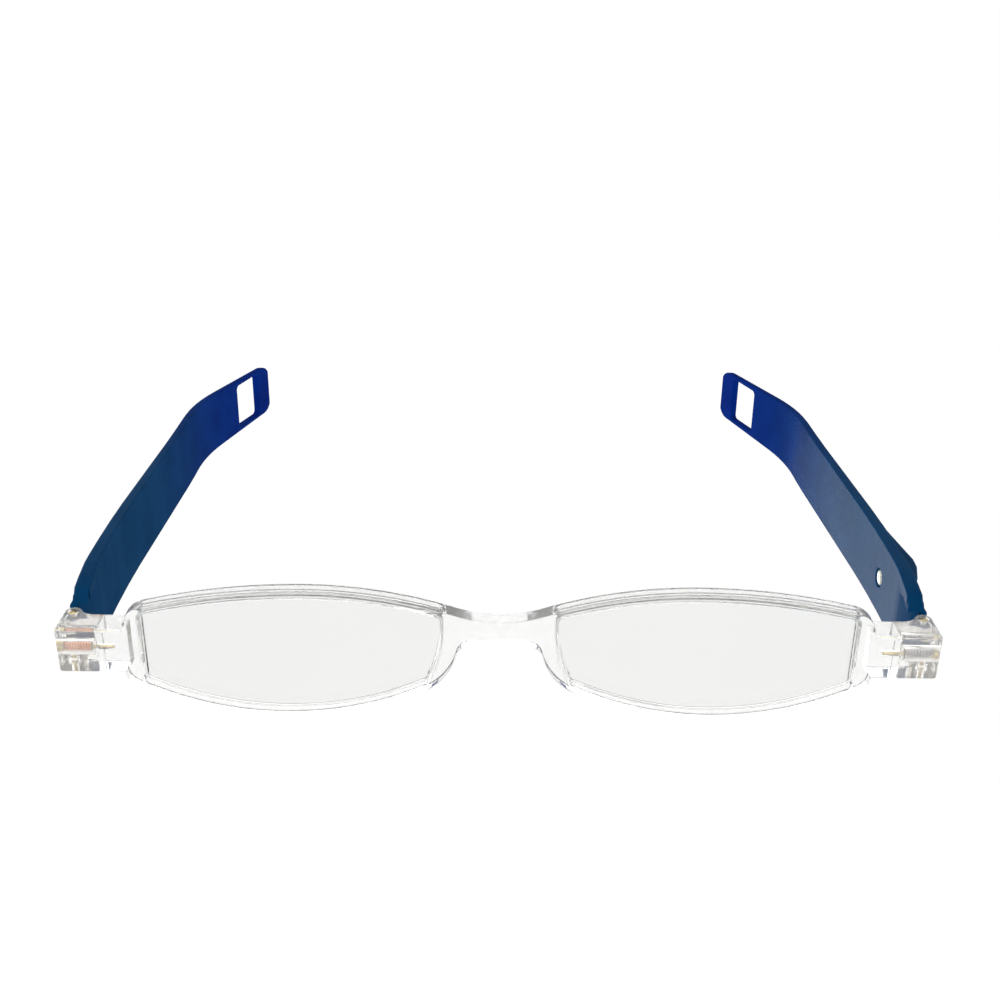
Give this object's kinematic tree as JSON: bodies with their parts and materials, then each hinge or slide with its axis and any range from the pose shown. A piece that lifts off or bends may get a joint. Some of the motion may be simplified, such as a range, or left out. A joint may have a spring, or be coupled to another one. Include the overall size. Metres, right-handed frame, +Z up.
{
  "type": "folding reading glasses",
  "caption": "Slim reading glasses with a clear one-piece front, swivelling spring-loaded end blocks and flat folding temples with a window through each tip.",
  "frame": {"origin": "middle of the flat underside of the nose arch, half way through its depth", "axes": "+X across the front, +Z up, the front face towards -Y and the open temples towards +Y"},
  "size_m": [0.1425, 0.1225, 0.023],
  "materials": {
    "clear_frame": "clear moulded polycarbonate, polished",
    "clear_lens": "clear acrylic lens, polished",
    "navy_temple": "navy, soft-touch, very fine grain",
    "copper_spring": "drawn copper-coloured wire",
    "steel_spring": "drawn wire, dull",
    "gold_screw": "pale gold plating",
    "dark_washer": "darkened steel",
    "rivet_metal": "satin, slightly warm"
  },
  "bodies": {
    "front": {"front_frame": "clear_frame", "right_lens": "clear_lens", "left_lens": "clear_lens", "right_swivel_screw": "gold_screw", "left_swivel_screw": "gold_screw"},
    "right_block": {"right_swivel_block": "clear_frame", "right_swivel_spring": "steel_spring", "right_spring_washer": "dark_washer", "right_hinge_pin": "gold_screw"},
    "left_block": {"left_swivel_block": "clear_frame", "left_swivel_spring": "copper_spring", "left_spring_washer": "dark_washer", "left_hinge_pin": "gold_screw"},
    "right_temple": {"right_temple": "navy_temple", "temple_catch": "navy_temple", "catch_rivet": "rivet_metal"},
    "left_temple": {"left_temple": "navy_temple"}
  },
  "joints": [
    {"name": "right_swivel", "type": "hinge", "parent": "front", "child": "right_block", "pos_m": [0.0667, 0.0012, -0.00155], "axis": [1, 0, 0], "range_deg": [-180, 180]},
    {"name": "left_swivel", "type": "hinge", "parent": "front", "child": "left_block", "pos_m": [-0.0667, 0.0012, -0.00155], "axis": [1, 0, 0], "range_deg": [-180, 180]},
    {"name": "right_fold", "type": "hinge", "parent": "right_block", "child": "right_temple", "pos_m": [0.06865, 0.00485, -0.00155], "axis": [0, 0, 1], "range_deg": [0, 83]},
    {"name": "left_fold", "type": "hinge", "parent": "left_block", "child": "left_temple", "pos_m": [-0.06865, 0.00485, -0.00155], "axis": [0, 0, -1], "range_deg": [0, 78.3]}
  ]
}
